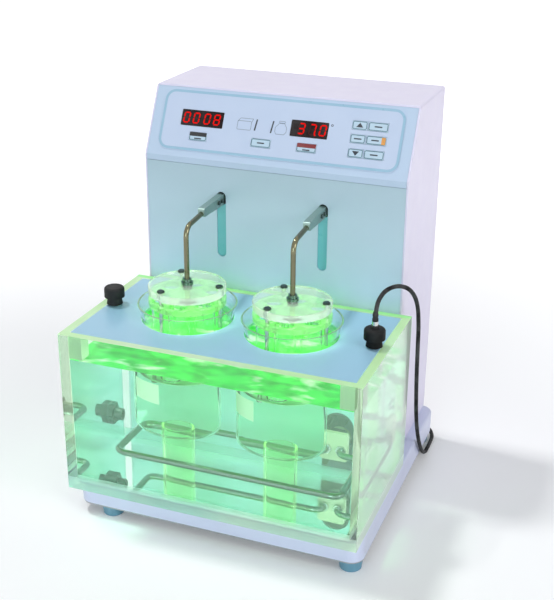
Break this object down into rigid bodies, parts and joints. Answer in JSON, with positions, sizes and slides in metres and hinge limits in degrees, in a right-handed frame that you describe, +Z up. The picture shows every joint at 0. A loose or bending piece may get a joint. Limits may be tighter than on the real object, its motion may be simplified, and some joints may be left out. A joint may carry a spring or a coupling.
{
  "type": "tablet disintegration tester",
  "caption": "Bench tablet disintegration tester: clear heated water bath with glass beakers and basket racks that a leaned-panel tower raises and lowers on bent arms.",
  "frame": {"origin": "bottom centre of the box round the instrument, without the probe's cable and plug, on the bench", "axes": "+Z up, front faces -Y, X runs across the front"},
  "size_m": [0.3644, 0.3867, 0.4822],
  "materials": {
    "painted_shell": "smooth satin powder coat",
    "galvanised_steel": "zinc plated sheet",
    "foot_rubber": "moulded matt rubber",
    "clear_acrylic": "polished clear acrylic with green edges",
    "support_block": "pale polished block",
    "cover_blue": "satin blue-grey sheet",
    "black_plastic": "moulded black plastic",
    "beaker_glass": "clear laboratory glass",
    "stainless_steel": "polished stainless steel",
    "cream_plastic": "cream moulded plastic",
    "panel_teal": "smooth satin paint",
    "panel_blue": "smooth satin paint",
    "printed_overlay": "printed polyester film",
    "display_window": "dark red tinted window",
    "circuit_board": "green solder mask",
    "key_grey": "satin key caps",
    "dark_screw": "blackened steel",
    "bare_aluminium": "machined aluminium",
    "bush_bronze": "turned bronze",
    "gear_plastic": "hobbed acetal",
    "motor_steel": "dark enamel",
    "cable_rubber": "black flexible jacket"
  },
  "bodies": {
    "base": {"base_plate": "galvanised_steel", "base_tray": "painted_shell", "bath_nozzle": "black_plastic", "bath_tank": "clear_acrylic", "beaker_stands": "clear_acrylic", "case_screws": "stainless_steel", "control_board": "circuit_board", "control_panel": "panel_blue", "cover_support_blocks": "support_block", "crank_bearing": "stainless_steel", "display_board": "circuit_board", "display_windows": "display_window", "drive_frame": "galvanised_steel", "drive_motor": "motor_steel", "feet": "foot_rubber", "front_panel": "panel_teal", "guide_rods": "stainless_steel", "heater_flange": "cream_plastic", "heater_glands": "stainless_steel", "heater_loop": "stainless_steel", "mains_inlet": "black_plastic", "panel_overlay": "printed_overlay", "probe_plug": "cable_rubber", "probe_sockets": "stainless_steel", "rear_panel": "painted_shell", "tower_housing": "painted_shell", "transformer": "motor_steel"},
    "lid": {"cover_plate": "cover_blue", "cover_knob": "black_plastic", "probe_knob": "black_plastic", "beaker_left": "beaker_glass", "beaker_right": "beaker_glass", "probe_sheath": "stainless_steel", "probe_cable": "cable_rubber"},
    "rack_carriage": {"carriage": "bare_aluminium", "carriage_bushes": "bush_bronze", "arm_brackets": "bare_aluminium", "arm_rods": "stainless_steel", "arm_screws": "dark_screw", "basket_discs": "clear_acrylic", "basket_hubs": "dark_screw", "basket_upper_plates": "clear_acrylic", "basket_lower_plates": "clear_acrylic", "basket_tubes": "beaker_glass", "basket_meshes": "stainless_steel", "stud_nuts": "stainless_steel", "basket_studs": "stainless_steel", "disc_screws": "dark_screw"},
    "crank": {"crank_gear": "gear_plastic"},
    "pinion": {"motor_pinion": "bush_bronze"},
    "switch_rocker": {"power_rocker": "black_plastic"},
    "key_time_cap": {"key_time": "key_grey"},
    "key_probe_cap": {"key_probe": "key_grey"},
    "key_temperature_cap": {"key_temperature": "key_grey"},
    "key_up_cap": {"key_up": "key_grey"},
    "key_mode_cap": {"key_mode": "key_grey"},
    "key_down_cap": {"key_down": "key_grey"},
    "key_start_cap": {"key_start": "key_grey"},
    "key_enter_cap": {"key_enter": "key_grey"},
    "key_menu_cap": {"key_menu": "key_grey"}
  },
  "joints": [
    {"name": "stroke", "type": "slide", "parent": "base", "child": "rack_carriage", "axis": [0, 0, 1], "range_m": [-0.055, 0]},
    {"name": "crank_turn", "type": "hinge", "parent": "base", "child": "crank", "pos_m": [0, 0.069, 0.3085], "axis": [0, 1, 0], "range_deg": [-180, 0]},
    {"name": "motor_turn", "type": "hinge", "parent": "base", "child": "pinion", "pos_m": [0.06, 0.069, 0.3085], "axis": [0, 1, 0], "range_deg": [0, 720]},
    {"name": "lid_lift", "type": "slide", "parent": "base", "child": "lid", "axis": [0, 0, 1], "range_m": [0, 0.05], "deforming": ["probe_cable"]},
    {"name": "power_rocker", "type": "hinge", "parent": "base", "child": "switch_rocker", "pos_m": [-0.11, 0.1725, 0.122], "axis": [1, 0, 0], "range_deg": [-14, 0]},
    {"name": "key_time", "type": "slide", "parent": "base", "child": "key_time_cap", "axis": [0, 0.8907, -0.4545], "range_m": [0, 0.0005], "stiffness_N_per_m": 1000, "springref_m": -0.0006},
    {"name": "key_probe", "type": "slide", "parent": "base", "child": "key_probe_cap", "axis": [0, 0.8907, -0.4545], "range_m": [0, 0.0005], "stiffness_N_per_m": 1000, "springref_m": -0.0006},
    {"name": "key_temperature", "type": "slide", "parent": "base", "child": "key_temperature_cap", "axis": [0, 0.8907, -0.4545], "range_m": [0, 0.0005], "stiffness_N_per_m": 1000, "springref_m": -0.0006},
    {"name": "key_up", "type": "slide", "parent": "base", "child": "key_up_cap", "axis": [0, 0.8907, -0.4545], "range_m": [0, 0.0005], "stiffness_N_per_m": 1000, "springref_m": -0.0006},
    {"name": "key_mode", "type": "slide", "parent": "base", "child": "key_mode_cap", "axis": [0, 0.8907, -0.4545], "range_m": [0, 0.0005], "stiffness_N_per_m": 1000, "springref_m": -0.0006},
    {"name": "key_down", "type": "slide", "parent": "base", "child": "key_down_cap", "axis": [0, 0.8907, -0.4545], "range_m": [0, 0.0005], "stiffness_N_per_m": 1000, "springref_m": -0.0006},
    {"name": "key_start", "type": "slide", "parent": "base", "child": "key_start_cap", "axis": [0, 0.8907, -0.4545], "range_m": [0, 0.0005], "stiffness_N_per_m": 1000, "springref_m": -0.0006},
    {"name": "key_enter", "type": "slide", "parent": "base", "child": "key_enter_cap", "axis": [0, 0.8907, -0.4545], "range_m": [0, 0.0005], "stiffness_N_per_m": 1000, "springref_m": -0.0006},
    {"name": "key_menu", "type": "slide", "parent": "base", "child": "key_menu_cap", "axis": [0, 0.8907, -0.4545], "range_m": [0, 0.0005], "stiffness_N_per_m": 1000, "springref_m": -0.0006}
  ],
  "couplings": [
    {"joint": "crank_turn", "follows": "stroke", "rad_per_m": 57.119},
    {"joint": "motor_turn", "follows": "stroke", "rad_per_m": -228.48}
  ]
}
